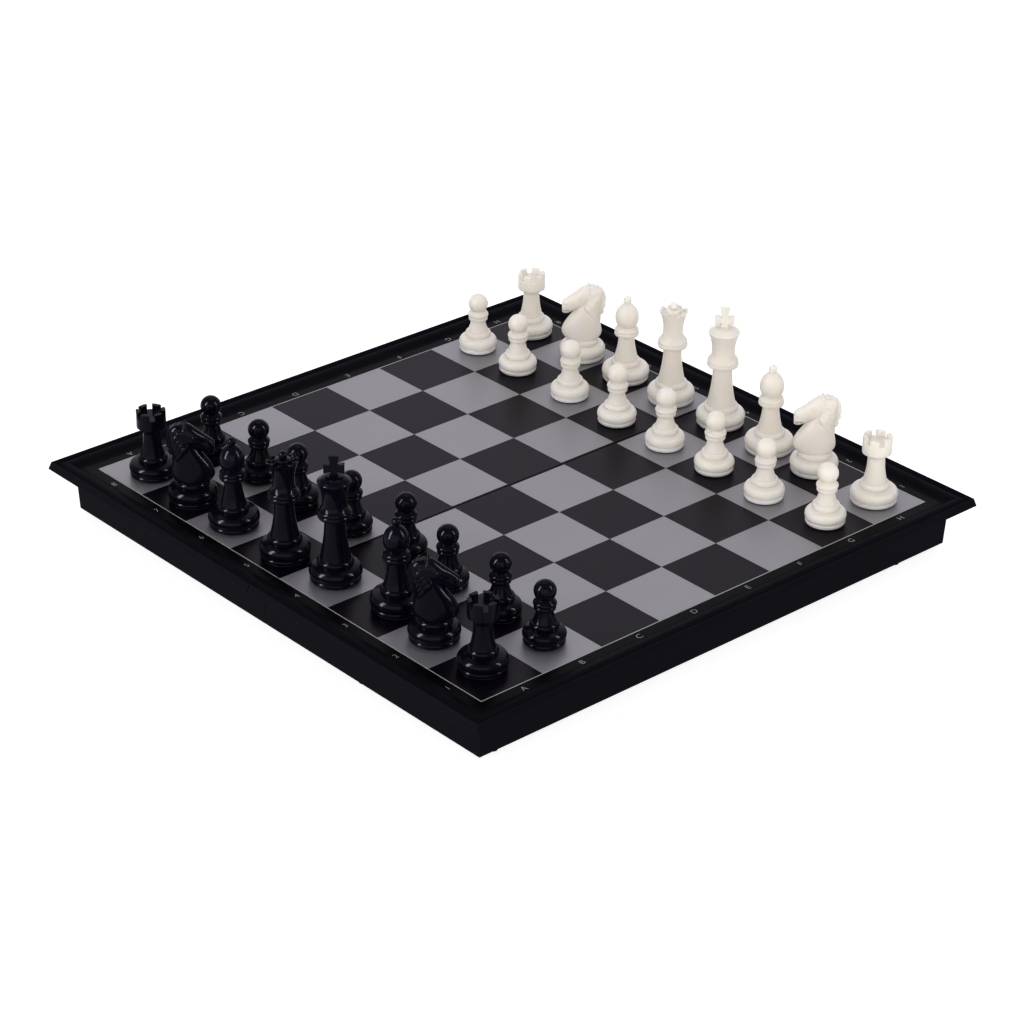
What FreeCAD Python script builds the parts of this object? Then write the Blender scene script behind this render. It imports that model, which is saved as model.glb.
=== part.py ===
import FreeCAD, Part
import math
import os

# A folding magnetic travel chess set, laid open on a table with its men set up.
# Millimetres. X runs along the fold from the a file to the h file, Y across the fold from the
# first rank to the eighth, and Z up. The origin is on the table, under the middle of the fold.

# Playing field
square = 35.0
files = 8
ranks_per_half = 4
fold_margin = 1.1  # fold plane to the nearest row of squares
border = 5.8  # dark strip from the outer squares to the foot of the rim

# Layers that lie in the deck's recess
plate_thickness = 0.4
plate_inset = 0.6
sheet_thickness = 0.35
sheet_inset = 0.1
foil_thickness = 0.1
foil_inset = 0.05

# Moulded tray: both halves come from one mould
tray_depth = 21.8  # lower edge of the walls to the playing surface
deck = 2.0
wall = 2.0
wall_draft = 1.0
wall_setback = 2.7  # foot of the rim to the outside of the wall, just under the flange
fold_wall = 3.0
fold_clearance = 0.25  # each half's inner face to the fold plane

# Raised rim, from its foot outwards, with heights above the playing surface
ogee_width = 6.1
crest_height = 2.3
bead_fall = 2.8
groove_height = 1.4
lip_rise = 1.7
lip_height = 2.75
lip_flat = 0.3
lip_slope = 1.15
lip_drop = 1.05  # playing surface down to the lower edge of the lip
lip_foot = 1.65
lip_undercut = 0.4
flange_drop = 0.4  # playing surface down to the underside of the flange

# Two pin hinges in the lower edge of the fold walls
hinge_offset = 85.0
knuckle_length = 14.0
knuckle_gap = 0.4
knuckle_radius = 1.85
notch_clearance = 0.4
pin_radius = 0.9
pin_clearance = 0.08
closed_gap = 0.3  # between the two lower edges when the set is shut

# Pegs that the open board stands on, and the sockets that take them when it is shut
peg_radius = 2.0
boss_radius = 3.75
socket_clearance = 0.2
socket_spare = 0.6
peg_from_corner = 11.0
other_peg_from_corner = 30.0
side_peg_from_corner = 83.0

# Felt and magnet under every man
felt_thickness = 0.5
felt_inset = 1.3  # edge of the base to the edge of the felt
magnet_thickness = 3.0
magnet_inset = 4.0
magnet_clearance = 0.1

# Turned foot that every man shares
foot_round = 0.8
ring_groove = 0.7
foot_ring_height = 2.6
shoulder_inset = 1.2
shoulder_height = 7.3
bead_height = 8.1
stem_height = 10.9
bead_step = 0.6
stem_ledge = 0.5  # from the bead in to the stem
tall_foot = 0.6  # how much higher all that is on the king, queen, bishops and knights
ring_bulge = 0.2  # height of an arc over its chord, as a share of the chord
stem_bulge = -0.03

# Collar of the king, the queen and the bishops
collar_flare = 0.8
collar_ring = 2.1
collar_step = 0.6

# Pawn
pawn_base = 9.9
pawn_bead = 6.5
pawn_neck = 3.7
pawn_neck_height = 16.6
pawn_lower_ring = 4.9
pawn_upper_ring = 5.4
pawn_ring = 1.9
pawn_ball = 5.1
pawn_ball_neck = 3.5
pawn_ball_lift = 1.2  # top of the rings to where the ball starts

# Rook
rook_base = 11.5
rook_bead = 7.0
rook_neck = 4.2
rook_neck_height = 22.3
rook_head = 7.1
rook_flare = 3.9
rook_head_tall = 8.4
rook_well = 5.0
rook_well_depth = 3.0
rook_slots = 3
rook_slot_width = 2.6

# Bishop
bishop_base = 12.1
bishop_bead = 7.4
bishop_neck = 4.0
bishop_neck_height = 24.0
bishop_collar = 6.5
bishop_mitre = 6.0
bishop_mitre_neck = 4.2
bishop_mitre_rise = 4.5  # neck of the mitre to its widest
bishop_mitre_bulge = 0.14
bishop_tip = 1.4
bishop_tip_rise = 8.0  # widest to the tip
bishop_ball = 2.1
bishop_slit = 1.0
bishop_slit_angle = 52.0
bishop_slit_rise = 1.7  # widest to the bottom of the slit

# Queen
queen_base = 11.9
queen_bead = 8.0
queen_neck = 4.5
queen_neck_height = 29.5
queen_collar = 7.8
queen_waist = 5.1
queen_waist_rise = 4.0  # collar to waist
queen_crown = 7.4
queen_crown_rise = 11.2  # waist to the top of the crown
queen_crown_lip = 1.5
queen_dish_depth = 1.2
queen_points = 9
queen_notch = 1.35
queen_ball = 2.1
queen_ball_neck = 1.5
queen_ball_lift = 1.0  # top of the crown to where the ball starts

# King
king_base = 12.2
king_bead = 8.4
king_neck = 4.8
king_neck_height = 31.5
king_collar = 8.1
king_waist = 5.8
king_waist_rise = 3.0  # collar to waist
king_crown = 7.9
king_crown_rise = 10.7  # waist to the edge of the crown
king_crown_round = 0.9
king_button = 3.0
king_dome_rise = 2.0  # rounded edge to the button under the cross
cross_lift = 3.8  # button to the middle of the cross
cross_top = 6.4  # middle of the cross to its top
cross_span = 9.4
cross_narrow = 3.0
cross_flare = 4.8
cross_thickness = 2.6

# Knight: u points ahead of the horse, v to its left, and z up from the top of the foot
knight_base = 11.8
knight_bead = 8.2
oval_points = 12  # on each cross-section of the neck and the head
knight_neck_rows = [  # height, middle along u, half depth, half width
    (-0.5, 0.3, 7.1, 6.8),
    (2.7, 0.5, 10.3, 6.5),
    (5.7, 0.5, 10.1, 6.0),
    (9.5, -0.2, 8.8, 5.5),
    (13.5, -1.7, 7.3, 5.1),
    (17.5, -3.3, 6.3, 4.7),
    (21.5, -4.2, 5.8, 4.4),
    (25.0, -4.8, 5.5, 3.8),
    (27.8, -5.2, 3.2, 2.4),
]
knight_head_rows = [  # along u, middle height, half height, half width
    (-7.0, 23.2, 4.0, 3.0),
    (-3.5, 23.4, 5.4, 4.0),
    (0.0, 22.2, 6.3, 4.3),
    (3.5, 20.7, 5.2, 3.9),
    (6.5, 18.8, 4.8, 3.3),
    (9.2, 17.5, 4.2, 3.1),
    (10.6, 17.1, 3.4, 2.5),
    (11.0, 17.0, 2.4, 1.7),
]
knight_ear_radius = 1.7
knight_ear_tall = 4.0
knight_ear_place = (-2.6, 2.0, 26.4)
knight_eye_radius = 1.3
knight_eye_place = (2.0, 3.3, 23.1)
knight_nostril_radius = 0.7
knight_nostril_place = (9.7, 2.9, 18.9)
knight_mouth = 0.6
knight_mouth_depth = 4.5
knight_mouth_height = 15.3
knight_crest_thickness = 3.2
knight_crest_lobes = 9
knight_lobe_radius = 2.2
knight_crest_curve = [(-4.5, 27.0), (-14.4, 26.0), (-5.0, 6.5)]  # poll, bend and withers
knight_locks = 4  # on each side of the neck
knight_lock_radius = 1.9
knight_lock_swell = 5.0  # root to where a lock is thickest
knight_front_lock = ((-1.2, 4.0, 20.0), (-7.4, 2.7, 9.0))
knight_back_lock = ((-5.8, 2.7, 25.2), (-8.4, 1.3, 13.2))

# Which way the men are turned, in degrees from X: the knights of each colour look at the other
white_facing = 138.0
black_facing = -42.0
cross_facing = 138.0
slit_facing = 48.0

# How far each man stands off the middle of its square, in X and Y, from the first rank to the
# eighth: the set was laid out by hand
white_back_places = [
    (0.0, -1.0), (1.0, 4.5), (0.5, -0.5), (2.5, 0.5),
    (2.0, -1.5), (2.0, -3.0), (2.5, -4.5), (1.5, -0.5),
]
white_pawn_places = [
    (1.5, -1.0), (-2.5, 0.5), (-0.5, 1.5), (-1.0, 0.5),
    (-0.5, -1.5), (0.5, -0.5), (1.0, 5.0), (2.0, 2.5),
]
black_pawn_places = [
    (1.0, 2.0), (2.5, -2.0), (1.5, -2.0), (7.0, -1.0),
    (1.5, -5.0), (-0.5, -2.0), (1.0, -5.0), (-1.0, -4.5),
]
black_back_places = [
    (1.0, 3.0), (1.0, 0.5), (6.0, -2.5), (1.5, 0.5),
    (-2.5, -4.5), (-2.5, -0.5), (-2.0, -2.5), (-1.0, -4.0),
]

# Heights and edges that follow from the sizes above
tray_bottom = knuckle_radius + closed_gap / 2
hinge_height = tray_bottom - closed_gap / 2
play = tray_bottom + tray_depth
deck_top = play - sheet_thickness - plate_thickness
deck_under = deck_top - deck
field_x = square * files / 2
field_y = fold_margin + square * ranks_per_half
wall_top = border + wall_setback
wall_foot = wall_top - wall_draft
right_knuckle = hinge_offset - knuckle_length  # where the near half's knuckles start
left_knuckle = -hinge_offset - knuckle_gap - knuckle_length

X = FreeCAD.Vector(1, 0, 0)
Y = FreeCAD.Vector(0, 1, 0)
Z = FreeCAD.Vector(0, 0, 1)
ORIGIN = FreeCAD.Vector(0, 0, 0)


def box(low, high):
    low = FreeCAD.Vector(*low)
    size = FreeCAD.Vector(*high) - low
    return Part.makeBox(size.x, size.y, size.z, low)


def outline(points, place):
    """A closed wire. A third number makes the stretch up to that point an arc, which bulges to
    the right of the way the outline runs by that share of its chord."""
    edges = []
    for last, point in zip(points, points[1:] + points[:1]):
        start = place(last[0], last[1])
        end = place(point[0], point[1])
        if len(point) > 2:
            across = (last[0] + point[0]) / 2 + point[2] * (point[1] - last[1])
            up = (last[1] + point[1]) / 2 - point[2] * (point[0] - last[0])
            edges.append(Part.Arc(start, place(across, up), end).toShape())
        else:
            edges.append(Part.LineSegment(start, end).toShape())
    return Part.Wire(edges)


def level_bulge(run, rise):
    """Bulge of an arc that is level at one end."""
    return math.tan(math.atan2(rise, run) / 2) / 2


# Board


def tray_section():
    """Section through the deck's edge, the rim and the wall: distance out from the squares, height."""
    crest = border + ogee_width
    groove = crest + bead_fall
    lip = groove + lip_rise
    edge = lip + lip_flat + lip_slope
    ogee = level_bulge(ogee_width, crest_height)
    fall = level_bulge(bead_fall, crest_height - groove_height)
    return [
        (0, deck_under),
        (0, deck_top),
        (border, deck_top),
        (border, play),
        (border + ogee_width / 2, play + crest_height / 2, ogee),
        (crest, play + crest_height, -ogee),
        (groove, play + groove_height, -fall),
        (lip, play + lip_height),
        (lip + lip_flat, play + lip_height),
        (edge, play - lip_drop),
        (edge - lip_foot, play - lip_drop),
        (edge - lip_foot - lip_undercut, play - flange_drop),
        (wall_top, play - flange_drop),
        (wall_foot, tray_bottom),
        (wall_foot - wall, tray_bottom),
        (wall_top - wall, deck_under),
    ]


def knuckle(start):
    """Barrel on the hinge axis, with the web that ties it to the fold wall behind it."""
    barrel = Part.makeCylinder(knuckle_radius, knuckle_length, FreeCAD.Vector(start, 0, hinge_height), X)
    web = box(
        (start, -fold_clearance - fold_wall / 2, hinge_height),
        (start + knuckle_length, 0, hinge_height + knuckle_radius),
    )
    return barrel.fuse(web)


def notch(start):
    """Room in the fold wall for the other half's knuckle."""
    return Part.makeCylinder(
        knuckle_radius + notch_clearance,
        knuckle_length + 2 * knuckle_gap,
        FreeCAD.Vector(start - knuckle_gap, 0, hinge_height),
        X,
    )


def peg_places():
    corner_x = field_x + wall_foot
    corner_y = field_y + wall_foot
    inset = boss_radius
    return [
        (peg_from_corner - corner_x, inset - corner_y),
        (corner_x - other_peg_from_corner, inset - corner_y),
        (inset - corner_x, side_peg_from_corner - corner_y),
    ]


def tray():
    """The near half. Its own hinge pieces are at the fold, on the lower edge."""
    path = Part.makePolygon([
        FreeCAD.Vector(-field_x, -fold_clearance, 0),
        FreeCAD.Vector(-field_x, -field_y, 0),
        FreeCAD.Vector(field_x, -field_y, 0),
        FreeCAD.Vector(field_x, -fold_clearance, 0),
    ])
    section = outline(tray_section(), lambda out, up: FreeCAD.Vector(-field_x - out, -fold_clearance, up))
    sides = path.makePipeShell([section], True, False, 1)
    top = box((-field_x, -field_y, deck_under), (field_x, -fold_clearance, deck_top))
    wall_middle = field_x + (wall_top - wall + wall_foot) / 2
    inner = box(
        (-wall_middle, -fold_clearance - fold_wall, tray_bottom),
        (wall_middle, -fold_clearance, deck_under + deck / 2),
    )
    pieces = [top, inner]
    sockets = []
    for x, y in peg_places():
        boss_height = deck_under + deck / 2 - tray_bottom
        pieces.append(Part.makeCylinder(boss_radius, boss_height, FreeCAD.Vector(x, y, tray_bottom)))
        pieces.append(Part.makeCylinder(boss_radius, boss_height, FreeCAD.Vector(-x, y, tray_bottom)))
        pieces.append(Part.makeCylinder(peg_radius, tray_bottom + boss_radius, FreeCAD.Vector(x, y, 0)))
        sockets.append(Part.makeCylinder(
            peg_radius + socket_clearance,
            tray_bottom + socket_spare,
            FreeCAD.Vector(-x, y, tray_bottom),
        ))
    own = [right_knuckle, left_knuckle]
    other = [-start - knuckle_length for start in own]
    body = sides.fuse(pieces).cut([notch(start) for start in other])
    body = body.fuse([knuckle(start) for start in own])
    bores = [
        Part.makeCylinder(
            pin_radius + pin_clearance,
            knuckle_length,
            FreeCAD.Vector(start, 0, hinge_height),
            X,
        )
        for start in own
    ]
    return body.cut(bores + sockets).removeSplitter()


def hinge_pin(start):
    """Steel pin through one near knuckle and one far knuckle."""
    length = 2 * knuckle_length + knuckle_gap
    return Part.makeCylinder(pin_radius, length, FreeCAD.Vector(start, 0, hinge_height), X)


def layer(inset, bottom, thickness):
    """A thin sheet that lies in the recess of the near deck."""
    return box(
        (-field_x - border + inset, -field_y - border + inset, bottom),
        (field_x + border - inset, -fold_clearance - inset, bottom + thickness),
    )


def square_middle(file, rank):
    """Middle of a square, both counted from zero."""
    x = (file + 0.5) * square - field_x
    if rank < ranks_per_half:
        y = (rank + 0.5) * square - field_y
    else:
        y = field_y - (2 * ranks_per_half - rank - 0.5) * square
    return x, y


def is_light(file, rank):
    return (file + rank) % 2 == 1


def light_squares():
    """Foil tiles stamped on the near sheet."""
    half = square / 2 - foil_inset
    tiles = []
    for rank in range(ranks_per_half):
        for file in range(files):
            if is_light(file, rank):
                x, y = square_middle(file, rank)
                tiles.append(box((x - half, y - half, play), (x + half, y + half, play + foil_thickness)))
    return Part.makeCompound(tiles)


def turned_over(shape):
    """The far half of the board is the near half turned round half a turn."""
    other = shape.copy()
    other.rotate(ORIGIN, Z, 180)
    return other


# Men, each standing at the origin on its felt


def lathe(points):
    section = Part.Face(outline(points, lambda across, up: FreeCAD.Vector(across, 0, up)))
    return section.revolve(ORIGIN, Z, 360)


def foot(base, bead, lift=0):
    """Section of the foot, up to where the stem starts. A tall foot lifts all above its lowest ring."""
    return [
        (0, felt_thickness),
        (base - foot_round, felt_thickness),
        (base - ring_groove, foot_ring_height, ring_bulge),
        (base - shoulder_inset, shoulder_height + lift, ring_bulge),
        (bead - bead_step / 3, bead_height + lift),
        (bead - bead_step, stem_height + lift, ring_bulge),
        (bead - bead_step - stem_ledge, stem_height + lift),
    ]


def collar(radius, height):
    """Section of two rings, the lower one wider, above a neck that ends at this height."""
    first = height + collar_flare
    second = first + collar_ring
    return [
        (radius - collar_step, first),
        (radius - collar_step, second, ring_bulge),
        (radius - 2 * collar_step, second + collar_ring, ring_bulge),
    ]


def ball_on(neck, height, radius):
    """A ball that is as wide as the neck under it at this height."""
    middle = height + math.sqrt(radius**2 - neck**2)
    return Part.makeSphere(radius, FreeCAD.Vector(0, 0, middle))


def pawn():
    lower = pawn_neck_height + collar_flare / 2
    upper = lower + pawn_ring + collar_flare / 2
    seat = upper + pawn_ring + pawn_ball_lift
    body = lathe(foot(pawn_base, pawn_bead) + [
        (pawn_neck, pawn_neck_height, stem_bulge),
        (pawn_lower_ring - collar_step / 2, lower),
        (pawn_lower_ring - collar_step / 2, lower + pawn_ring, ring_bulge),
        (pawn_upper_ring - collar_step / 2, upper),
        (pawn_upper_ring - collar_step, upper + pawn_ring, ring_bulge),
        (pawn_ball_neck, seat),
        (0, seat),
    ])
    return body.fuse(ball_on(pawn_ball_neck, seat, pawn_ball))


def rook():
    head = rook_neck_height + rook_flare
    top = head + rook_head_tall
    body = lathe(foot(rook_base, rook_bead) + [
        (rook_neck, rook_neck_height, stem_bulge),
        (rook_head, head, -ring_bulge),
        (rook_head, top),
        (0, top),
    ])
    floor = top - rook_well_depth
    cuts = [Part.makeCylinder(rook_well, rook_well_depth, FreeCAD.Vector(0, 0, floor))]
    for index in range(rook_slots):
        slot = box((-rook_head, -rook_slot_width / 2, floor), (rook_head, rook_slot_width / 2, top))
        slot.rotate(ORIGIN, Z, 180 * index / rook_slots)
        cuts.append(slot)
    return body.cut(cuts)


def bishop():
    rings = collar(bishop_collar, bishop_neck_height)
    neck = rings[-1][1] + collar_flare
    widest = neck + bishop_mitre_rise
    tip = widest + bishop_tip_rise
    body = lathe(foot(bishop_base, bishop_bead, tall_foot) + [
        (bishop_neck, bishop_neck_height, stem_bulge),
    ] + rings + [
        (bishop_mitre_neck, neck),
        (bishop_mitre, widest, ring_bulge / 2),
        (bishop_tip, tip, bishop_mitre_bulge),
        (0, tip),
    ])
    reach = 2 * bishop_mitre
    slit = box((0, -reach, -bishop_slit / 2), (reach, reach, bishop_slit / 2))
    slit.rotate(ORIGIN, Y, -bishop_slit_angle)
    slit.translate(Z * (widest + bishop_slit_rise))
    slit.rotate(ORIGIN, Z, slit_facing)
    return body.cut(slit).fuse(ball_on(bishop_tip, tip, bishop_ball))


def queen():
    rings = collar(queen_collar, queen_neck_height)
    waist = rings[-1][1] + queen_waist_rise
    crown = waist + queen_crown_rise
    seat = crown + queen_ball_lift
    body = lathe(foot(queen_base, queen_bead, tall_foot) + [
        (queen_neck, queen_neck_height, stem_bulge),
    ] + rings + [
        (queen_waist, waist, -ring_bulge / 2),
        (queen_crown, crown, -ring_bulge / 3),
        (queen_crown - queen_crown_lip, crown),
        (queen_crown - queen_crown_lip, crown - queen_dish_depth),
        (queen_ball_neck, seat, ring_bulge / 2),
        (0, seat),
    ])
    notches = []
    for index in range(queen_points):
        cutter = Part.makeCylinder(queen_notch, queen_crown, X * (queen_crown / 2) + Z * crown, X)
        cutter.rotate(ORIGIN, Z, 360 * index / queen_points)
        notches.append(cutter)
    return body.cut(notches).fuse(ball_on(queen_ball_neck, seat, queen_ball))


def cross(button):
    """Four arms that flare out to their ends, cut from a flat plate that stands on the button."""
    lengths = [cross_span / 2, cross_top, cross_span / 2, cross_lift + king_crown_round]
    points = []
    for quarter, length in enumerate(lengths):
        turn = math.radians(90 * quarter)
        for along, aside in (
            (length, -cross_flare / 2),
            (length, cross_flare / 2),
            (cross_narrow / 2, cross_narrow / 2),
        ):
            across = along * math.cos(turn) - aside * math.sin(turn)
            up = along * math.sin(turn) + aside * math.cos(turn)
            points.append((across, button + cross_lift + up))
    flat = outline(points, lambda across, up: FreeCAD.Vector(across, -cross_thickness / 2, up))
    plate = Part.Face(flat).extrude(Y * cross_thickness)
    plate.rotate(ORIGIN, Z, cross_facing)
    return plate


def king():
    rings = collar(king_collar, king_neck_height)
    waist = rings[-1][1] + king_waist_rise
    crown = waist + king_crown_rise
    dome = crown + king_crown_round
    button = dome + king_dome_rise
    body = lathe(foot(king_base, king_bead, tall_foot) + [
        (king_neck, king_neck_height, stem_bulge),
    ] + rings + [
        (king_waist, waist, -ring_bulge / 2),
        (king_crown, crown, -ring_bulge / 3),
        (king_crown - king_crown_round, dome, ring_bulge),
        (king_button, button, ring_bulge / 2),
        (0, button),
    ])
    return body.fuse(cross(button))


def oval(middle, first, second):
    """A smooth closed curve through points of an ellipse with these two half axes."""
    points = []
    for step in range(oval_points):
        turn = 2 * math.pi * step / oval_points
        points.append(middle + first * math.cos(turn) + second * math.sin(turn))
    curve = Part.BSplineCurve()
    curve.interpolate(Points=points, PeriodicFlag=True)
    return Part.Wire(curve.toShape())


def between(first, last, share):
    return tuple(a + (b - a) * share for a, b in zip(first, last))


def crest():
    """Overlapping round lobes down the back of the neck, along a curve with three guide points."""
    lobes = []
    for index in range(knight_crest_lobes):
        share = index / (knight_crest_lobes - 1)
        poll, bend, withers = knight_crest_curve
        u, up = between(between(poll, bend, share), between(bend, withers, share), share)
        start = FreeCAD.Vector(u, -knight_crest_thickness / 2, up)
        lobes.append(Part.makeCylinder(knight_lobe_radius, knight_crest_thickness, start, Y))
    return lobes


def lock(root, tip):
    """One tapering lock of hair: a spindle that is thickest near its root."""
    along = tip - root
    spindle = lathe([
        (0, 0),
        (knight_lock_radius, knight_lock_swell, ring_bulge),
        (0, along.Length, ring_bulge / 3),
    ])
    spindle.Placement = FreeCAD.Placement(root, FreeCAD.Rotation(Z, along))
    return spindle


def mane(side):
    """Long locks that sweep down and back over one side of the neck."""
    locks = []
    for index in range(knight_locks):
        share = index / (knight_locks - 1)
        ends = []
        for front, back in zip(knight_front_lock, knight_back_lock):
            u, v, up = between(front, back, share)
            ends.append(FreeCAD.Vector(u, side * v, up))
        locks.append(lock(*ends))
    return locks


def knight():
    """A horse's head and neck that looks along X: two lofts with crest, mane, ears, eyes and mouth."""
    top = stem_height + tall_foot
    body = lathe(foot(knight_base, knight_bead, tall_foot) + [(0, top)])
    neck = Part.makeLoft(
        [oval(FreeCAD.Vector(u, 0, up), X * deep, Y * wide) for up, u, deep, wide in knight_neck_rows],
        True,
    )
    head = Part.makeLoft(
        [oval(FreeCAD.Vector(u, 0, up), Z * tall, Y * wide) for u, up, tall, wide in knight_head_rows],
        True,
    )
    details = crest()
    cuts = []
    for side in (-1, 1):
        details += mane(side)
        u, v, up = knight_ear_place
        ear_foot = FreeCAD.Vector(u, side * v, up)
        details.append(Part.makeCone(knight_ear_radius, 0, knight_ear_tall, ear_foot, Z))
        u, v, up = knight_eye_place
        details.append(Part.makeSphere(knight_eye_radius, FreeCAD.Vector(u, side * v, up)))
        u, v, up = knight_nostril_place
        cuts.append(Part.makeSphere(knight_nostril_radius, FreeCAD.Vector(u, side * v, up)))
    muzzle = knight_head_rows[-1][0]
    cuts.append(box(
        (muzzle - knight_mouth_depth, -knight_base, knight_mouth_height),
        (muzzle + knight_mouth, knight_base, knight_mouth_height + knight_mouth),
    ))
    horse = neck.fuse([head] + details).cut(cuts)
    horse.translate(Z * top)
    return body.fuse(horse)


def man(body, base):
    """The turned body with its magnet in a pocket and its felt under both."""
    magnet_radius = base - magnet_inset
    pocket = Part.makeCylinder(
        magnet_radius + magnet_clearance,
        magnet_thickness + magnet_clearance,
        FreeCAD.Vector(0, 0, felt_thickness),
    )
    magnet = Part.makeCylinder(magnet_radius, magnet_thickness, FreeCAD.Vector(0, 0, felt_thickness))
    felt = Part.makeCylinder(base - felt_inset, felt_thickness)
    return Part.makeCompound([body.cut(pocket), magnet, felt])


def stand(shape, turn, file, rank, place):
    """A copy of a man, turned and put on its square: foil lies under it on a light one."""
    x, y = square_middle(file, rank)
    height = play + foil_thickness if is_light(file, rank) else play
    copy = shape.copy()
    copy.rotate(ORIGIN, Z, turn)
    copy.translate(FreeCAD.Vector(x + place[0], y + place[1], height))
    return copy


def export(name, shape):
    shape.exportStep("parts/" + name + ".step")


def main():
    os.makedirs("parts", exist_ok=True)
    board = {
        "tray": tray(),
        "steel_plate": layer(plate_inset, deck_top, plate_thickness),
        "playing_sheet": layer(sheet_inset, deck_top + plate_thickness, sheet_thickness),
        "light_squares": light_squares(),
    }
    for name, shape in board.items():
        export("near_" + name, shape)
        export("far_" + name, turned_over(shape))
    export("right_hinge_pin", hinge_pin(right_knuckle))
    export("left_hinge_pin", hinge_pin(left_knuckle))

    men = {
        "pawn": man(pawn(), pawn_base),
        "rook": man(rook(), rook_base),
        "knight": man(knight(), knight_base),
        "bishop": man(bishop(), bishop_base),
        "queen": man(queen(), queen_base),
        "king": man(king(), king_base),
    }
    back_row = ["rook", "knight", "bishop", "king", "queen", "bishop", "knight", "rook"]
    rows = [
        ("black", black_facing, 0, back_row, black_back_places),
        ("black", black_facing, 1, ["pawn"] * len(back_row), black_pawn_places),
        ("white", white_facing, files - 2, ["pawn"] * len(back_row), white_pawn_places),
        ("white", white_facing, files - 1, back_row, white_back_places),
    ]
    for colour, facing, file, kinds, places in rows:
        for rank, (kind, place) in enumerate(zip(kinds, places)):
            name = colour + "_" + kind
            if kinds.count(kind) > 1:
                name += "_" + str(rank + 1)
            turn = facing if kind == "knight" else 0
            export(name, stand(men[kind], turn, file, rank, place))


main()
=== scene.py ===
# %% [markdown]
# # A folding magnetic chess set
#
# The set lies open with its 32 men on the board. Its solids come from the construction model,
# which is loaded here as a fixed frame in metres. This lesson gives every piece its finish,
# prints the board's line and coordinates, and lights the set as a product photographer would.

import math

import bmesh
import bpy
import numpy as np
from mathutils import Matrix, Vector


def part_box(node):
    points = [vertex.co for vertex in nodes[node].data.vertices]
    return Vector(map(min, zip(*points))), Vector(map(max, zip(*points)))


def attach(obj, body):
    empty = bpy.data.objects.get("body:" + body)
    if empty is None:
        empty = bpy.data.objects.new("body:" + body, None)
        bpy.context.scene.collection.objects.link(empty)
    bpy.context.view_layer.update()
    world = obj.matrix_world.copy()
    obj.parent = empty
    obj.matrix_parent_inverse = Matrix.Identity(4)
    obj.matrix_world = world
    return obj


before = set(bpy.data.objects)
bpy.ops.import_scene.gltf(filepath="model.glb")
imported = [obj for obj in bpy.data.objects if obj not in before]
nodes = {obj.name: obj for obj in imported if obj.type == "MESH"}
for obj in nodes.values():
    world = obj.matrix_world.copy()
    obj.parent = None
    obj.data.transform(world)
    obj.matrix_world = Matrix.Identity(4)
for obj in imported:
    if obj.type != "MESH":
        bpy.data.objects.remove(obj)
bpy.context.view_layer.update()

# %% [markdown]
# ## Sizes that the frame already holds
#
# The printed line has to meet the stamped squares. Its sizes could be typed in here, but they
# would be wrong as soon as the construction model changed, so they are read from the solids. The
# board has eight files across, and each half has four ranks.

# %% Read the playing field from the solids
FILES = 8
RANKS = 8
DECIMALS = 4  # the model's sizes are whole tenths of a millimetre

squares_low, squares_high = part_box("near_light_squares")
_, sheet_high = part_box("near_playing_sheet")
SQUARE = round((squares_high.x - squares_low.x) / FILES, DECIMALS)
FIELD_X = SQUARE * FILES / 2
FIELD_Y = round(-squares_low.y, DECIMALS)
PRINT_HEIGHT = sheet_high.z
print("square", SQUARE, "field", FIELD_X, FIELD_Y, "print lies at", round(PRINT_HEIGHT, 5))

# %% [markdown]
# ## Camera
#
# The photograph looks down at the near corner of the board from a good distance, with a long lens
# that keeps the edges nearly parallel. A constraint could aim the camera, but it leaves no way to
# tilt the picture. A tracking rotation aims it here, and a small roll about its own axis levels
# it.

# %% Place the camera
LENS = 111.5  # mm
SENSOR_WIDTH = 36.0  # mm
CAMERA_PLACE = Vector((-0.89971, -1.00981, 0.73264))
CAMERA_TARGET = Vector((-0.01696, -0.02142, 0.0238))
CAMERA_ROLL = math.radians(0.686)

lens = bpy.data.cameras.new("camera")
lens.lens = LENS
lens.sensor_width = SENSOR_WIDTH
camera = bpy.data.objects.new("camera", lens)
bpy.context.scene.collection.objects.link(camera)
aim = (CAMERA_TARGET - CAMERA_PLACE).to_track_quat("-Z", "Y").to_matrix().to_4x4()
roll = Matrix.Rotation(CAMERA_ROLL, 4, "Z")
camera.matrix_world = Matrix.Translation(CAMERA_PLACE) @ aim @ roll
bpy.context.scene.camera = camera
print("camera stands", round((CAMERA_TARGET - CAMERA_PLACE).length, 3), "m away")

# %% [markdown]
# ## Shader arithmetic
#
# A finish is mostly arithmetic on noise and position: mix two tones, roughen the worn spots.
# Wiring Math nodes by hand hides that, so one small class wraps an output socket and lets
# Python's own operators add the nodes. Any other node comes from its `node` method.

# %% A socket that takes part in arithmetic
class Wire:
    """One output socket of a shader tree."""

    def __init__(self, tree, socket=None):
        self.tree = tree
        self.socket = socket

    def node(self, kind, settings, values, output=0):
        """Adds a node: first its settings, then the values or links of its sockets."""
        made = self.tree.nodes.new(kind)
        for name, value in settings.items():
            setattr(made, name, value)
        for name, value in values.items():
            if isinstance(value, Wire):
                self.tree.links.new(value.socket, made.inputs[name])
            else:
                made.inputs[name].default_value = value
        return Wire(self.tree, made.outputs[output])

    def math(self, operation, first, second):
        return self.node("ShaderNodeMath", {"operation": operation}, {0: first, 1: second})

    def __add__(self, other):
        return self.math("ADD", self, other)

    def __sub__(self, other):
        return self.math("SUBTRACT", self, other)

    def __rsub__(self, other):
        return self.math("SUBTRACT", other, self)

    def __mul__(self, other):
        return self.math("MULTIPLY", self, other)

    def __gt__(self, other):
        return self.math("GREATER_THAN", self, other)

    __radd__ = __add__
    __rmul__ = __mul__


print("shader arithmetic is ready")

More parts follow.
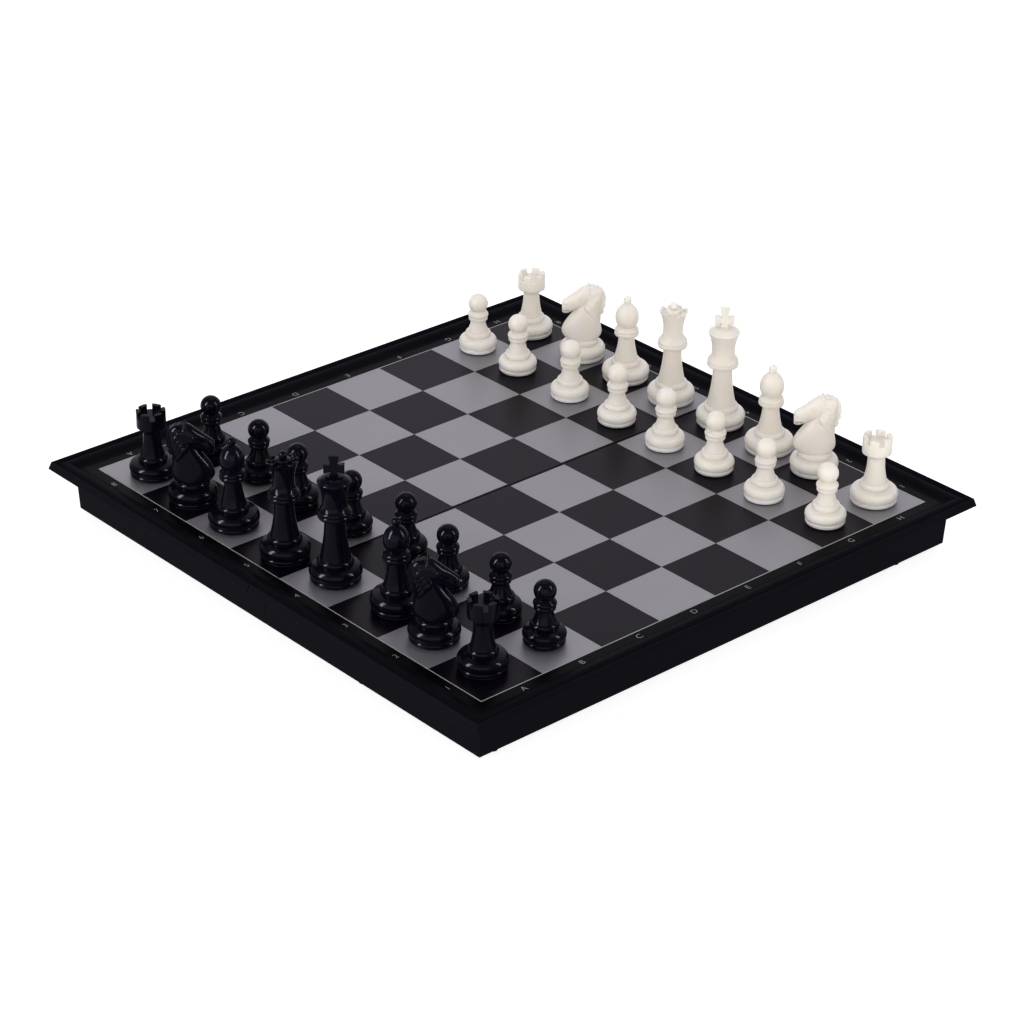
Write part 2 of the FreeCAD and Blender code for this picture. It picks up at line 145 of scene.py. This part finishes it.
# %% [markdown]
# ## Start of a finish
#
# Every finish starts from the Principled shader. A value that is the same all over a surface is
# set on the shader's own socket. What varies is plugged in as a wire, which is worked out from
# the place on the object.

# %% Start a material and plug into it
def finish(name, constants):
    """A new material, its shader with these fixed values, and the place on the object."""
    material = bpy.data.materials.new(name)
    material.use_nodes = True
    tree = material.node_tree
    shader = tree.nodes["Principled BSDF"]
    for socket, value in constants.items():
        shader.inputs[socket].default_value = value
    place = Wire(tree).node("ShaderNodeTexCoord", {}, {}, "Object")
    return material, shader, place


def plug(shader, socket, wire):
    wire.tree.links.new(wire.socket, shader.inputs[socket])


print("finishes can be started")

# %% [markdown]
# ## Noise and mixing
#
# Moulded plastic is never one flat tone: it has broad flow marks and a fine skin left by the
# mould. Images could show both, but they need unwrapped surfaces. Noise in the object's own
# coordinates needs none, keeps its real scale on every solid and is the same on each run.

# %% Noise and mixing
MIX_FACTOR, MIX_FIRST, MIX_SECOND = 0, 6, 7  # a Mix node's inputs for colours
MIX_COLOUR = 2  # and its output


def noise(place, size, detail=2.0):
    """Cloudy values from 0 to 1, with patches about as large as size, in metres."""
    values = {"Vector": place, "Scale": 1 / size, "Detail": detail}
    return place.node("ShaderNodeTexNoise", {}, values)


def ease(value, low, high):
    """Runs smoothly from 0 at low to 1 at high."""
    return value.node(
        "ShaderNodeMapRange",
        {"interpolation_type": "SMOOTHSTEP"},
        {"Value": value, "From Min": low, "From Max": high},
    )


def mixed(share, first, second):
    values = {MIX_FACTOR: share, MIX_FIRST: first, MIX_SECOND: second}
    return share.node("ShaderNodeMix", {"data_type": "RGBA"}, values, MIX_COLOUR)


def stretched(place, along):
    """Places for noise that runs further in the directions with the smaller factors."""
    return place.node("ShaderNodeVectorMath", {"operation": "MULTIPLY"}, {0: place, 1: along})


print("noise and mixing are ready")

# %% [markdown]
# ## Edges and bumps
#
# A real edge is slightly round, so it catches the light, and it is where wear begins. Rounding
# the meshes would change the solids. A Bevel node only turns the surface's direction near an
# edge, and where that departs from the true direction there is an edge to wear. A Bump node adds
# the fine skin to the direction in the same way.

# %% Rounded edges, wear and bumps
BEVEL_SAMPLES = 4
WEAR_STARTS, WEAR_FULL = 0.02, 0.3  # 1 minus the cosine between the two directions


def round_edge(place, radius):
    """Surface direction as if every sharp edge had this radius."""
    return place.node("ShaderNodeBevel", {"samples": BEVEL_SAMPLES}, {"Radius": radius})


def worn_edge(place, radius):
    """1 along sharp edges and 0 on the flats."""
    flat = place.node("ShaderNodeNewGeometry", {}, {}, "Normal")
    turn = place.node(
        "ShaderNodeVectorMath",
        {"operation": "DOT_PRODUCT"},
        {0: round_edge(place, radius), 1: flat},
        "Value",
    )
    return ease(1 - turn, WEAR_STARTS, WEAR_FULL)


def bumped(height, depth, normal):
    """The direction after a bump that is depth metres deep."""
    values = {"Strength": 1.0, "Distance": depth, "Height": height, "Normal": normal}
    return height.node("ShaderNodeBump", {}, values)


print("edges and bumps are ready")

# %% [markdown]
# ## Tray plastic
#
# Both halves of the board are one moulding in black ABS with a satin skin. The mould's texture is
# a grain of about a third of a millimetre, which breaks reflections into a soft sheen. Displacing
# the mesh for it would take millions of faces, so a bump does it. Corners that rub against a bag
# are polished a little greyer. A blue tint in the black follows the photograph.

# %% Make the tray plastic
def tray_plastic():
    deep, lifted = (0.0034, 0.0032, 0.0062, 1), (0.0066, 0.0062, 0.0112, 1)
    rubbed = (0.03, 0.03, 0.036, 1)
    material, shader, place = finish("tray_plastic", {"Specular IOR Level": 0.04})
    grain = noise(place, size=0.00035, detail=3.0)
    flow = noise(stretched(place, (1.0, 1.0, 4.0)), size=0.03, detail=4.0)
    worn = worn_edge(place, radius=0.0006)
    edge = round_edge(place, radius=0.0004)
    plug(shader, "Base Color", mixed(worn * 0.5, mixed(flow, deep, lifted), rubbed))
    plug(shader, "Roughness", 0.42 + 0.12 * grain + 0.1 * flow)
    plug(shader, "Normal", bumped(grain, depth=0.00002, normal=edge))
    return material


TRAY_PLASTIC = tray_plastic()
print("made", TRAY_PLASTIC.name)

# %% [markdown]
# ## Printed film
#
# The playing surface is a dark satin film: it mirrors the light wall behind the board, but the
# men's feet only as a soft shade. It is glossier inside the field than on the margin. Two
# materials would need a cut in the mesh along the field's edge, so two shaders are mixed by where
# a point lies.

# %% Make the film
def dark_film():
    deep, lifted = (0.0034, 0.0014, 0.0054, 1), (0.0055, 0.0028, 0.0084, 1)
    margin_deep, margin_lifted = (0.0012, 0.0011, 0.0016, 1), (0.0020, 0.0018, 0.0026, 1)
    material, shader, place = finish("dark_film", {"Specular IOR Level": 0.14})
    split = place.node("ShaderNodeVectorMath", {"operation": "ABSOLUTE"}, {0: place})
    across = split.node("ShaderNodeSeparateXYZ", {}, {0: split}, "X")
    along = split.node("ShaderNodeSeparateXYZ", {}, {0: split}, "Y")
    outside = across.math("MAXIMUM", across > FIELD_X, along > FIELD_Y)
    speck = noise(place, size=0.00025)
    haze = noise(place, size=0.04, detail=4.0)
    edge = round_edge(place, radius=0.0001)
    ripple = bumped(noise(place, size=0.0011), depth=0.0000015, normal=edge)
    plug(shader, "Base Color", mixed(speck, deep, lifted))
    plug(shader, "Roughness", 0.25 + 0.06 * haze + 0.05 * speck)
    plug(shader, "Normal", ripple)
    margin = place.node("ShaderNodeBsdfPrincipled", {}, {
        "Specular IOR Level": 0.05,
        "Base Color": mixed(speck, margin_deep, margin_lifted),
        "Roughness": 0.28 + 0.06 * haze + 0.05 * speck,
        "Normal": ripple,
    })
    field = Wire(place.tree, shader.outputs[0])
    both = place.node("ShaderNodeMixShader", {}, {0: outside, 1: field, 2: margin})
    plug(place.tree.nodes["Material Output"], "Surface", both)
    return material


DARK_FILM = dark_film()
print("made", DARK_FILM.name)

# %% [markdown]
# ## Stamped foil
#
# The light squares are silver-grey foil that is stamped on the film with heat. As pure metal they
# would mirror the men sharply, and as paint they would look chalky. So the foil is only about
# half metallic and rather rough, and it carries a fine metal grain.

# %% Make the foil
def light_foil():
    dull, clear = (0.268, 0.261, 0.272, 1), (0.302, 0.294, 0.306, 1)
    glint = (0.345, 0.337, 0.351, 1)
    material, shader, place = finish("light_foil", {"Specular IOR Level": 0.5})
    speck = noise(place, size=0.00022)
    haze = noise(place, size=0.05, detail=4.0)
    edge = round_edge(place, radius=0.00008)
    ripple = bumped(noise(place, size=0.0011), depth=0.0000015, normal=edge)
    plug(shader, "Base Color", mixed(speck * 0.5, mixed(haze, dull, clear), glint))
    plug(shader, "Metallic", 0.55 + 0.15 * speck)
    plug(shader, "Roughness", 0.4 + 0.06 * haze + 0.05 * speck)
    plug(shader, "Normal", ripple)
    return material


LIGHT_FOIL = light_foil()
print("made", LIGHT_FOIL.name)

# %% [markdown]
# ## Steel
#
# Two kinds of steel hide in the set: the rolled plate that the magnets hold on to, and the drawn
# hinge pins. Both have fine lines along the way they were worked. Anisotropic gloss could hint at
# them, but noise stretched in one direction draws the lines themselves, so it drives the
# roughness and a very shallow bump.

# %% Make the plate and pin steel
BRIGHTER = 1.35  # the cleaner patches, against the tone


def drawn_steel(name, tone, along):
    material, shader, place = finish(name, {"Metallic": 1.0})
    lines = noise(stretched(place, along), size=0.0004, detail=3.0)
    patches = noise(place, size=0.02, detail=3.0)
    edge = round_edge(place, radius=0.0001)
    bright = tuple(channel * BRIGHTER for channel in tone[:3]) + (1,)
    plug(shader, "Base Color", mixed(patches, tone, bright))
    plug(shader, "Roughness", 0.22 + 0.16 * lines + 0.08 * patches)
    plug(shader, "Normal", bumped(lines, depth=0.00001, normal=edge))
    return material


PLATE_STEEL = drawn_steel("plate_steel", (0.33, 0.34, 0.36, 1), along=(0.05, 1.0, 1.0))
PIN_STEEL = drawn_steel("pin_steel", (0.46, 0.46, 0.47, 1), along=(0.04, 1.0, 1.0))
print("made", PLATE_STEEL.name, "and", PIN_STEEL.name)

# %% [markdown]
# ## Black plastic
#
# The black men are glossy, and their highlights are sharp but not perfect: a skin of tiny waves
# from the mould bends them. The waves are about a hundredth of a millimetre deep and show in
# reflections alone, so they are a bump and not a shape.

# %% Make the black plastic
def black_plastic():
    deep, lifted = (0.0034, 0.0028, 0.0080, 1), (0.0056, 0.0048, 0.0120, 1)
    material, shader, place = finish("black_plastic", {"Specular IOR Level": 0.1})
    waves = noise(place, size=0.0022)
    dust = noise(place, size=0.0004)
    flow = noise(place, size=0.012, detail=3.0)
    edge = round_edge(place, radius=0.00025)
    plug(shader, "Base Color", mixed(flow, deep, lifted))
    plug(shader, "Roughness", 0.12 + 0.05 * flow + 0.04 * dust)
    plug(shader, "Normal", bumped(waves, depth=0.000012, normal=edge))
    return material


BLACK_PLASTIC = black_plastic()
print("made", BLACK_PLASTIC.name)

# %% [markdown]
# ## Ivory plastic
#
# The ivory men are a milky plastic that light enters by some millimetres. With a pale colour
# alone they would keep hard shadows and look like chalk. Subsurface scattering fills their
# grooves and softens their shadows. Their skin is duller than that of the black men.

# %% Make the ivory plastic
def ivory_plastic():
    warm, pale = (0.81, 0.77, 0.70, 1), (0.86, 0.825, 0.76, 1)
    material, shader, place = finish("ivory_plastic", {
        "Specular IOR Level": 0.15,
        "Subsurface Weight": 0.7,
        "Subsurface Radius": (1.0, 0.8, 0.55),
        "Subsurface Scale": 0.005,
    })
    waves = noise(place, size=0.002)
    dust = noise(place, size=0.0004)
    flow = noise(place, size=0.012, detail=3.0)
    edge = round_edge(place, radius=0.00035)
    plug(shader, "Base Color", mixed(flow, warm, pale))
    plug(shader, "Roughness", 0.36 + 0.1 * flow + 0.06 * dust)
    plug(shader, "Normal", bumped(waves, depth=0.00003, normal=edge))
    return material


IVORY_PLASTIC = ivory_plastic()
print("made", IVORY_PLASTIC.name)

# %% [markdown]
# ## Felt and magnet under a man
#
# A felt disc under each foot lets it slide without scratching the film, and a ferrite disc above
# the felt holds it to the steel. Both show only when a man is lifted, so the felt's matted fibres
# are noise at two scales and not modelled hairs.

# %% Make the felt and the ferrite
def felt():
    dark, light = (0.006, 0.007, 0.007, 1), (0.022, 0.024, 0.024, 1)
    material, shader, place = finish("felt", {"Sheen Weight": 0.4, "Sheen Roughness": 0.5})
    fibre = noise(stretched(place, (1.0, 1.0, 3.0)), size=0.0003, detail=4.0)
    tuft = noise(place, size=0.002, detail=3.0)
    edge = round_edge(place, radius=0.0002)
    plug(shader, "Base Color", mixed(fibre, dark, light))
    plug(shader, "Roughness", 0.85 + 0.1 * tuft)
    plug(shader, "Normal", bumped(fibre + 0.5 * tuft, depth=0.0001, normal=edge))
    return material


def ferrite():
    dark, light = (0.02, 0.02, 0.022, 1), (0.05, 0.05, 0.053, 1)
    material, shader, place = finish("ferrite", {"Metallic": 0.3})
    grit = noise(place, size=0.0002, detail=3.0)
    edge = round_edge(place, radius=0.0002)
    plug(shader, "Base Color", mixed(grit, dark, light))
    plug(shader, "Roughness", 0.55 + 0.2 * grit)
    plug(shader, "Normal", bumped(grit, depth=0.00003, normal=edge))
    return material


FELT = felt()
FERRITE = ferrite()
print("made", FELT.name, "and", FERRITE.name)

# %% [markdown]
# ## Dress the board
#
# The solids keep their shape and place, and only their material slots change. Each node could be
# named here, but its name already ends in what it is, so both halves get their finish by that.

# %% Give the board's solids their finishes
BOARD_FINISHES = {
    "tray": TRAY_PLASTIC,
    "steel_plate": PLATE_STEEL,
    "playing_sheet": DARK_FILM,
    "light_squares": LIGHT_FOIL,
    "hinge_pin": PIN_STEEL,
}


def dress(solid, *materials):
    solid.data.materials.clear()
    for material in materials:
        solid.data.materials.append(material)


for ending, material in BOARD_FINISHES.items():
    dressed = [name for name in nodes if name.endswith(ending)]
    for name in dressed:
        dress(nodes[name], material)
    print(material.name, "is on", len(dressed), "nodes")

# %% [markdown]
# ## Dress the men
#
# One node holds a man's body, its magnet and its felt. Splitting it would change the solids, so
# each face is told apart by where its middle lies: the faces of the lowest half millimetre are
# felt, and those inside the magnet's radius in the pocket are ferrite.

# %% Give the men their finishes
FELT_THICKNESS = 0.0005
FOOT_HEIGHT = 0.01  # a man is widest below this
MAGNET_TOP = 0.0036
MAGNET_EDGE = 0.0038  # edge of the foot to the wall of the magnet's pocket
TOLERANCE = 0.00002
BODY_SLOT, FELT_SLOT, FERRITE_SLOT = 0, 1, 2


def points(items, name):
    """A vector of each vertex or face, as rows of X, Y and Z."""
    flat = np.zeros(len(items) * 3)
    items.foreach_get(name, flat)
    return flat.reshape(-1, 3)


def dress_man(name, plastic):
    solid = nodes[name]
    dress(solid, plastic, FELT, FERRITE)
    faces = solid.data.polygons
    middles = points(faces, "center")
    corners = points(solid.data.vertices, "co")
    low = corners[:, 2].min()
    foot = corners[corners[:, 2] < low + FOOT_HEIGHT]
    axis = (foot[:, :2].min(0) + foot[:, :2].max(0)) / 2
    pocket = (foot[:, 0].max() - foot[:, 0].min()) / 2 - MAGNET_EDGE
    up = middles[:, 2] - low
    out = np.linalg.norm(middles[:, :2] - axis, axis=1)
    slots = np.full(len(faces), BODY_SLOT)
    slots[(up < MAGNET_TOP + TOLERANCE) & (out < pocket)] = FERRITE_SLOT
    slots[up < FELT_THICKNESS - TOLERANCE] = FELT_SLOT
    faces.foreach_set("material_index", slots)
    return int((slots == FELT_SLOT).sum())


for colour, plastic in (("white", IVORY_PLASTIC), ("black", BLACK_PLASTIC)):
    men = [name for name in nodes if name.startswith(colour)]
    felted = [dress_man(name, plastic) for name in men]
    print(len(men), colour, "men are dressed, with", sum(felted), "felt faces")

# %% [markdown]
# ## Pale ink
#
# A thin pale line frames the playing field, and small capitals and figures name the files and
# ranks on all four sides, all in one ink. The film's material could draw the line but not the
# glyphs, so both are built as very thin solids on the film. Each half of the board gets its own,
# because the fold parts them.

# %% Make the pale ink
INK_THICKNESS = 0.00002


def pale_ink():
    thin, full = (0.30, 0.295, 0.29, 1), (0.46, 0.455, 0.44, 1)
    material, shader, place = finish("pale_ink", {"Specular IOR Level": 0.4})
    speck = noise(place, size=0.0002)
    edge = round_edge(place, radius=0.00005)
    plug(shader, "Base Color", mixed(speck, thin, full))
    plug(shader, "Roughness", 0.3 + 0.15 * speck)
    plug(shader, "Normal", bumped(speck, depth=0.000003, normal=edge))
    return material


PALE_INK = pale_ink()


def add_print(name, mesh, half):
    """A printed piece that moves with one half of the board."""
    mesh.materials.clear()
    mesh.materials.append(PALE_INK)
    piece = bpy.data.objects.new(name, mesh)
    bpy.context.scene.collection.objects.link(piece)
    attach(piece, half)
    return piece


print("made", PALE_INK.name)

# %% [markdown]
# ## Line round the field
#
# The line could be three thin boxes on each half, but their ends would overlap at the corners. It
# is drawn as one outline with eight corners, a flat U round three sides of a half, and then
# raised by the thickness of the ink. The far half's line is the near one turned round.

# %% Print the line round the field
LINE_WIDTH = 0.0006
FOLD_END = -sheet_high.y  # from the fold to the edge of the film


def field_line(turn):
    outer_x = FIELD_X + LINE_WIDTH
    outer_y = -FIELD_Y - LINE_WIDTH
    corners = [
        (-outer_x, -FOLD_END), (-outer_x, outer_y), (outer_x, outer_y), (outer_x, -FOLD_END),
        (FIELD_X, -FOLD_END), (FIELD_X, -FIELD_Y), (-FIELD_X, -FIELD_Y), (-FIELD_X, -FOLD_END),
    ]
    shape = bmesh.new()
    face = shape.faces.new([shape.verts.new((x, y, PRINT_HEIGHT)) for x, y in corners])
    raised = bmesh.ops.extrude_face_region(shape, geom=[face], use_keep_orig=True)
    top = [item for item in raised["geom"] if isinstance(item, bmesh.types.BMVert)]
    bmesh.ops.translate(shape, verts=top, vec=(0, 0, INK_THICKNESS))
    bmesh.ops.transform(shape, matrix=Matrix.Rotation(turn, 4, "Z"), verts=shape.verts)
    bmesh.ops.recalc_face_normals(shape, faces=shape.faces)
    mesh = bpy.data.meshes.new("field_line")
    shape.to_mesh(mesh)
    shape.free()
    return mesh


near_line = add_print("near_field_line", field_line(0), "near_half")
far_line = add_print("far_field_line", field_line(math.pi), "far_half")
print("printed", near_line.name, "and", far_line.name)

# %% [markdown]
# ## Glyphs
#
# The coordinates are plain sans-serif characters about three millimetres tall. Their strokes
# could be drawn by hand, but Blender's own font is near enough once its strokes are thinned. A
# glyph starts as a text object and is turned into a mesh.

# %% Turn a character into a mesh
GLYPH_SIZE = 0.0047
STROKE_OFFSET = -0.00005  # thins the strokes to those of the print
CURVE_STEPS = 3


def glyph(text):
    words = bpy.data.curves.new("glyph", "FONT")
    words.body = text
    words.size = GLYPH_SIZE
    words.offset = STROKE_OFFSET
    words.extrude = INK_THICKNESS / 2
    words.resolution_u = CURVE_STEPS
    holder = bpy.data.objects.new("glyph", words)
    mesh = bpy.data.meshes.new_from_object(holder)
    bpy.data.objects.remove(holder)
    bpy.data.curves.remove(words)
    return mesh


print("glyphs are", GLYPH_SIZE, "m in size")

# %% [markdown]
# ## Places of the glyphs
#
# Letters stand along the near and far sides and figures along the left and right. Those on the
# far and right sides are turned round for the other player. A list of 32 places would hide the
# order in them, so each place is worked out from the number of its file or rank.

# %% Work out where each glyph goes
LETTERS = "ABCDEFGH"
GLYPH_OUT = 0.0040  # edge of the field to the middle of a glyph
LETTER_PITCH = 0.0341  # the letters stand a little closer than the squares
HALF_RANKS = {"near_half": range(RANKS // 2), "far_half": range(RANKS // 2, RANKS)}


def rank_middle(index):
    """Middle of a rank, from the near side: the fold parts the two halves of the field."""
    middle = (index + 0.5) * SQUARE
    if index < RANKS // 2:
        return middle - FIELD_Y
    return FIELD_Y - (RANKS * SQUARE - middle)


def printed_places(half):
    """Text, X, Y and turn of each glyph on one half."""
    side, turn = (-1, 0) if half == "near_half" else (1, math.pi)
    for index in range(FILES):
        x = (index + 0.5 - FILES / 2) * LETTER_PITCH
        yield LETTERS[index], x, side * (FIELD_Y + GLYPH_OUT), turn
    for index in HALF_RANKS[half]:
        y = rank_middle(index)
        yield str(index + 1), -FIELD_X - GLYPH_OUT, y, 0
        yield str(index + 1), FIELD_X + GLYPH_OUT, y, math.pi


for half in HALF_RANKS:
    print(half, "has", len(list(printed_places(half))), "glyphs")

# %% [markdown]
# ## Coordinates
#
# Thirty-two separate glyphs would crowd the list of pieces, so those of one half are joined into
# one piece. Each is centred on its own outline first, because a font sets its characters on a
# line and not round their middles.

# %% Print the coordinates
def centred(mesh):
    """The move that brings the middle of a mesh to the origin."""
    corners = [vertex.co for vertex in mesh.vertices]
    low = Vector(map(min, zip(*corners)))
    high = Vector(map(max, zip(*corners)))
    return Matrix.Translation(-(low + high) / 2)


def coordinates(half):
    joined = bmesh.new()
    height = PRINT_HEIGHT + INK_THICKNESS / 2
    for text, x, y, turn in printed_places(half):
        mesh = glyph(text)
        place = Matrix.Translation((x, y, height)) @ Matrix.Rotation(turn, 4, "Z")
        mesh.transform(place @ centred(mesh))
        joined.from_mesh(mesh)
        bpy.data.meshes.remove(mesh)
    whole = bpy.data.meshes.new("coordinates")
    joined.to_mesh(whole)
    joined.free()
    return whole


for half, name in (("near_half", "near_coordinates"), ("far_half", "far_coordinates")):
    piece = add_print(name, coordinates(half), half)
    print("printed", name, "with", len(piece.data.polygons), "faces")

# %% [markdown]
# ## Floor
#
# The photograph is a product shot on white: the ground has no edge and hardly a shadow. A white
# floor that is only lit would still show both, so this one gives off most of its own light.

# %% Lay the floor
FLOOR_REACH = 30.0


def pale_floor():
    dull, clear = (0.38, 0.38, 0.38, 1), (0.41, 0.41, 0.41, 1)
    material, shader, place = finish("pale_floor", {
        "Roughness": 0.9,
        "Specular IOR Level": 0.2,
        "Emission Color": (1.0, 1.0, 1.0, 1),
        "Emission Strength": 0.84,
    })
    plug(shader, "Base Color", mixed(noise(place, size=0.6), dull, clear))
    return material


floor_mesh = bpy.data.meshes.new("floor")
corners = [(-1, -1, 0), (1, -1, 0), (1, 1, 0), (-1, 1, 0)]
floor_mesh.from_pydata([Vector(corner) * FLOOR_REACH for corner in corners], [], [(0, 1, 2, 3)])
floor_mesh.materials.append(pale_floor())
floor = bpy.data.objects.new("floor", floor_mesh)
bpy.context.scene.collection.objects.link(floor)
print("floor reaches", FLOOR_REACH, "m")

# %% [markdown]
# ## Soft boxes
#
# A studio light is a large bright sheet, so an area light stands for it. Coordinates would say
# little about what a light does to the picture, so each is placed by its turn from the camera's
# side and its rise above the floor, and it faces the board.

# %% Make a soft box
CAMERA_SIDE = math.atan2(CAMERA_PLACE.y - CAMERA_TARGET.y, CAMERA_PLACE.x - CAMERA_TARGET.x)


def soft_box(name, turn, rise, distance, size, watts, tint, highlights_only=False):
    """A light that is turned to the camera's left and raised by these degrees."""
    light = bpy.data.lights.new(name, "AREA")
    light.shape = "RECTANGLE"
    light.size, light.size_y = size
    light.energy = watts
    light.color = tint
    around = CAMERA_SIDE - math.radians(turn)
    up = math.radians(rise)
    level = math.cos(up)
    towards = Vector((math.cos(around) * level, math.sin(around) * level, math.sin(up)))
    lamp = bpy.data.objects.new(name, light)
    bpy.context.scene.collection.objects.link(lamp)
    lamp.location = towards * distance
    lamp.rotation_euler = towards.to_track_quat("Z", "Y").to_euler()
    lamp.visible_camera = False
    lamp.visible_diffuse = not highlights_only


print("the camera stands at", round(math.degrees(CAMERA_SIDE), 1), "degrees")

# %% [markdown]
# ## Lights
#
# A wide panel beside the camera lights the men, another behind the board is what the squares
# mirror, and a weak one above evens both out. On glossy black plastic only the shape of a light
# shows. The two upright strips are there for that: they draw highlights and give no other light,
# so they can be bright without bleaching the ivory.

# %% Set up the lights
soft_box(
    "left_strip", turn=62, rise=26, distance=1.5, size=(0.3, 1.1),
    watts=46, tint=(0.86, 0.86, 1.0), highlights_only=True,
)
soft_box(
    "right_strip", turn=-74, rise=30, distance=1.6, size=(0.16, 1.0),
    watts=20, tint=(0.90, 0.90, 1.0), highlights_only=True,
)
soft_box(
    "top_panel", turn=180, rise=76, distance=1.7, size=(1.2, 0.8),
    watts=5, tint=(0.90, 0.88, 1.0),
)
soft_box(
    "front_panel", turn=12, rise=16, distance=2.8, size=(4.4, 1.8),
    watts=49, tint=(1.0, 0.99, 0.98),
)
soft_box(
    "back_panel", turn=180, rise=28, distance=2.2, size=(3.6, 1.7),
    watts=13, tint=(0.98, 0.92, 1.0),
)
print("lit by", len(bpy.data.lights), "area lights")

# %% [markdown]
# ## Fill light
#
# The walls of a white studio send light back from all sides, and more lamps could stand for them.
# A pale world does it without new highlights. Seen past the floor from a low angle, the same
# world would look grey, so it is stronger for rays that come straight from the camera. The
# Standard view keeps the tones plain, and a gamma below 1 deepens the blacks as in the
# photograph.

# %% Fill the studio with pale light
FILL_STRENGTH = 0.62
BACKDROP_STRENGTH = 1.1  # seen directly, the backdrop is as white as the floor
WALL_TINT = (0.96, 0.97, 1.0, 1)
GAMMA = 0.8

world = bpy.data.worlds.new("studio")
world.use_nodes = True
backdrop = world.node_tree.nodes["Background"]
backdrop.inputs["Color"].default_value = WALL_TINT
seen = Wire(world.node_tree).node("ShaderNodeLightPath", {}, {}, "Is Camera Ray")
plug(backdrop, "Strength", FILL_STRENGTH + (BACKDROP_STRENGTH - FILL_STRENGTH) * seen)
bpy.context.scene.world = world
bpy.context.scene.view_settings.view_transform = "Standard"
bpy.context.scene.view_settings.gamma = GAMMA
print("filled", world.name)
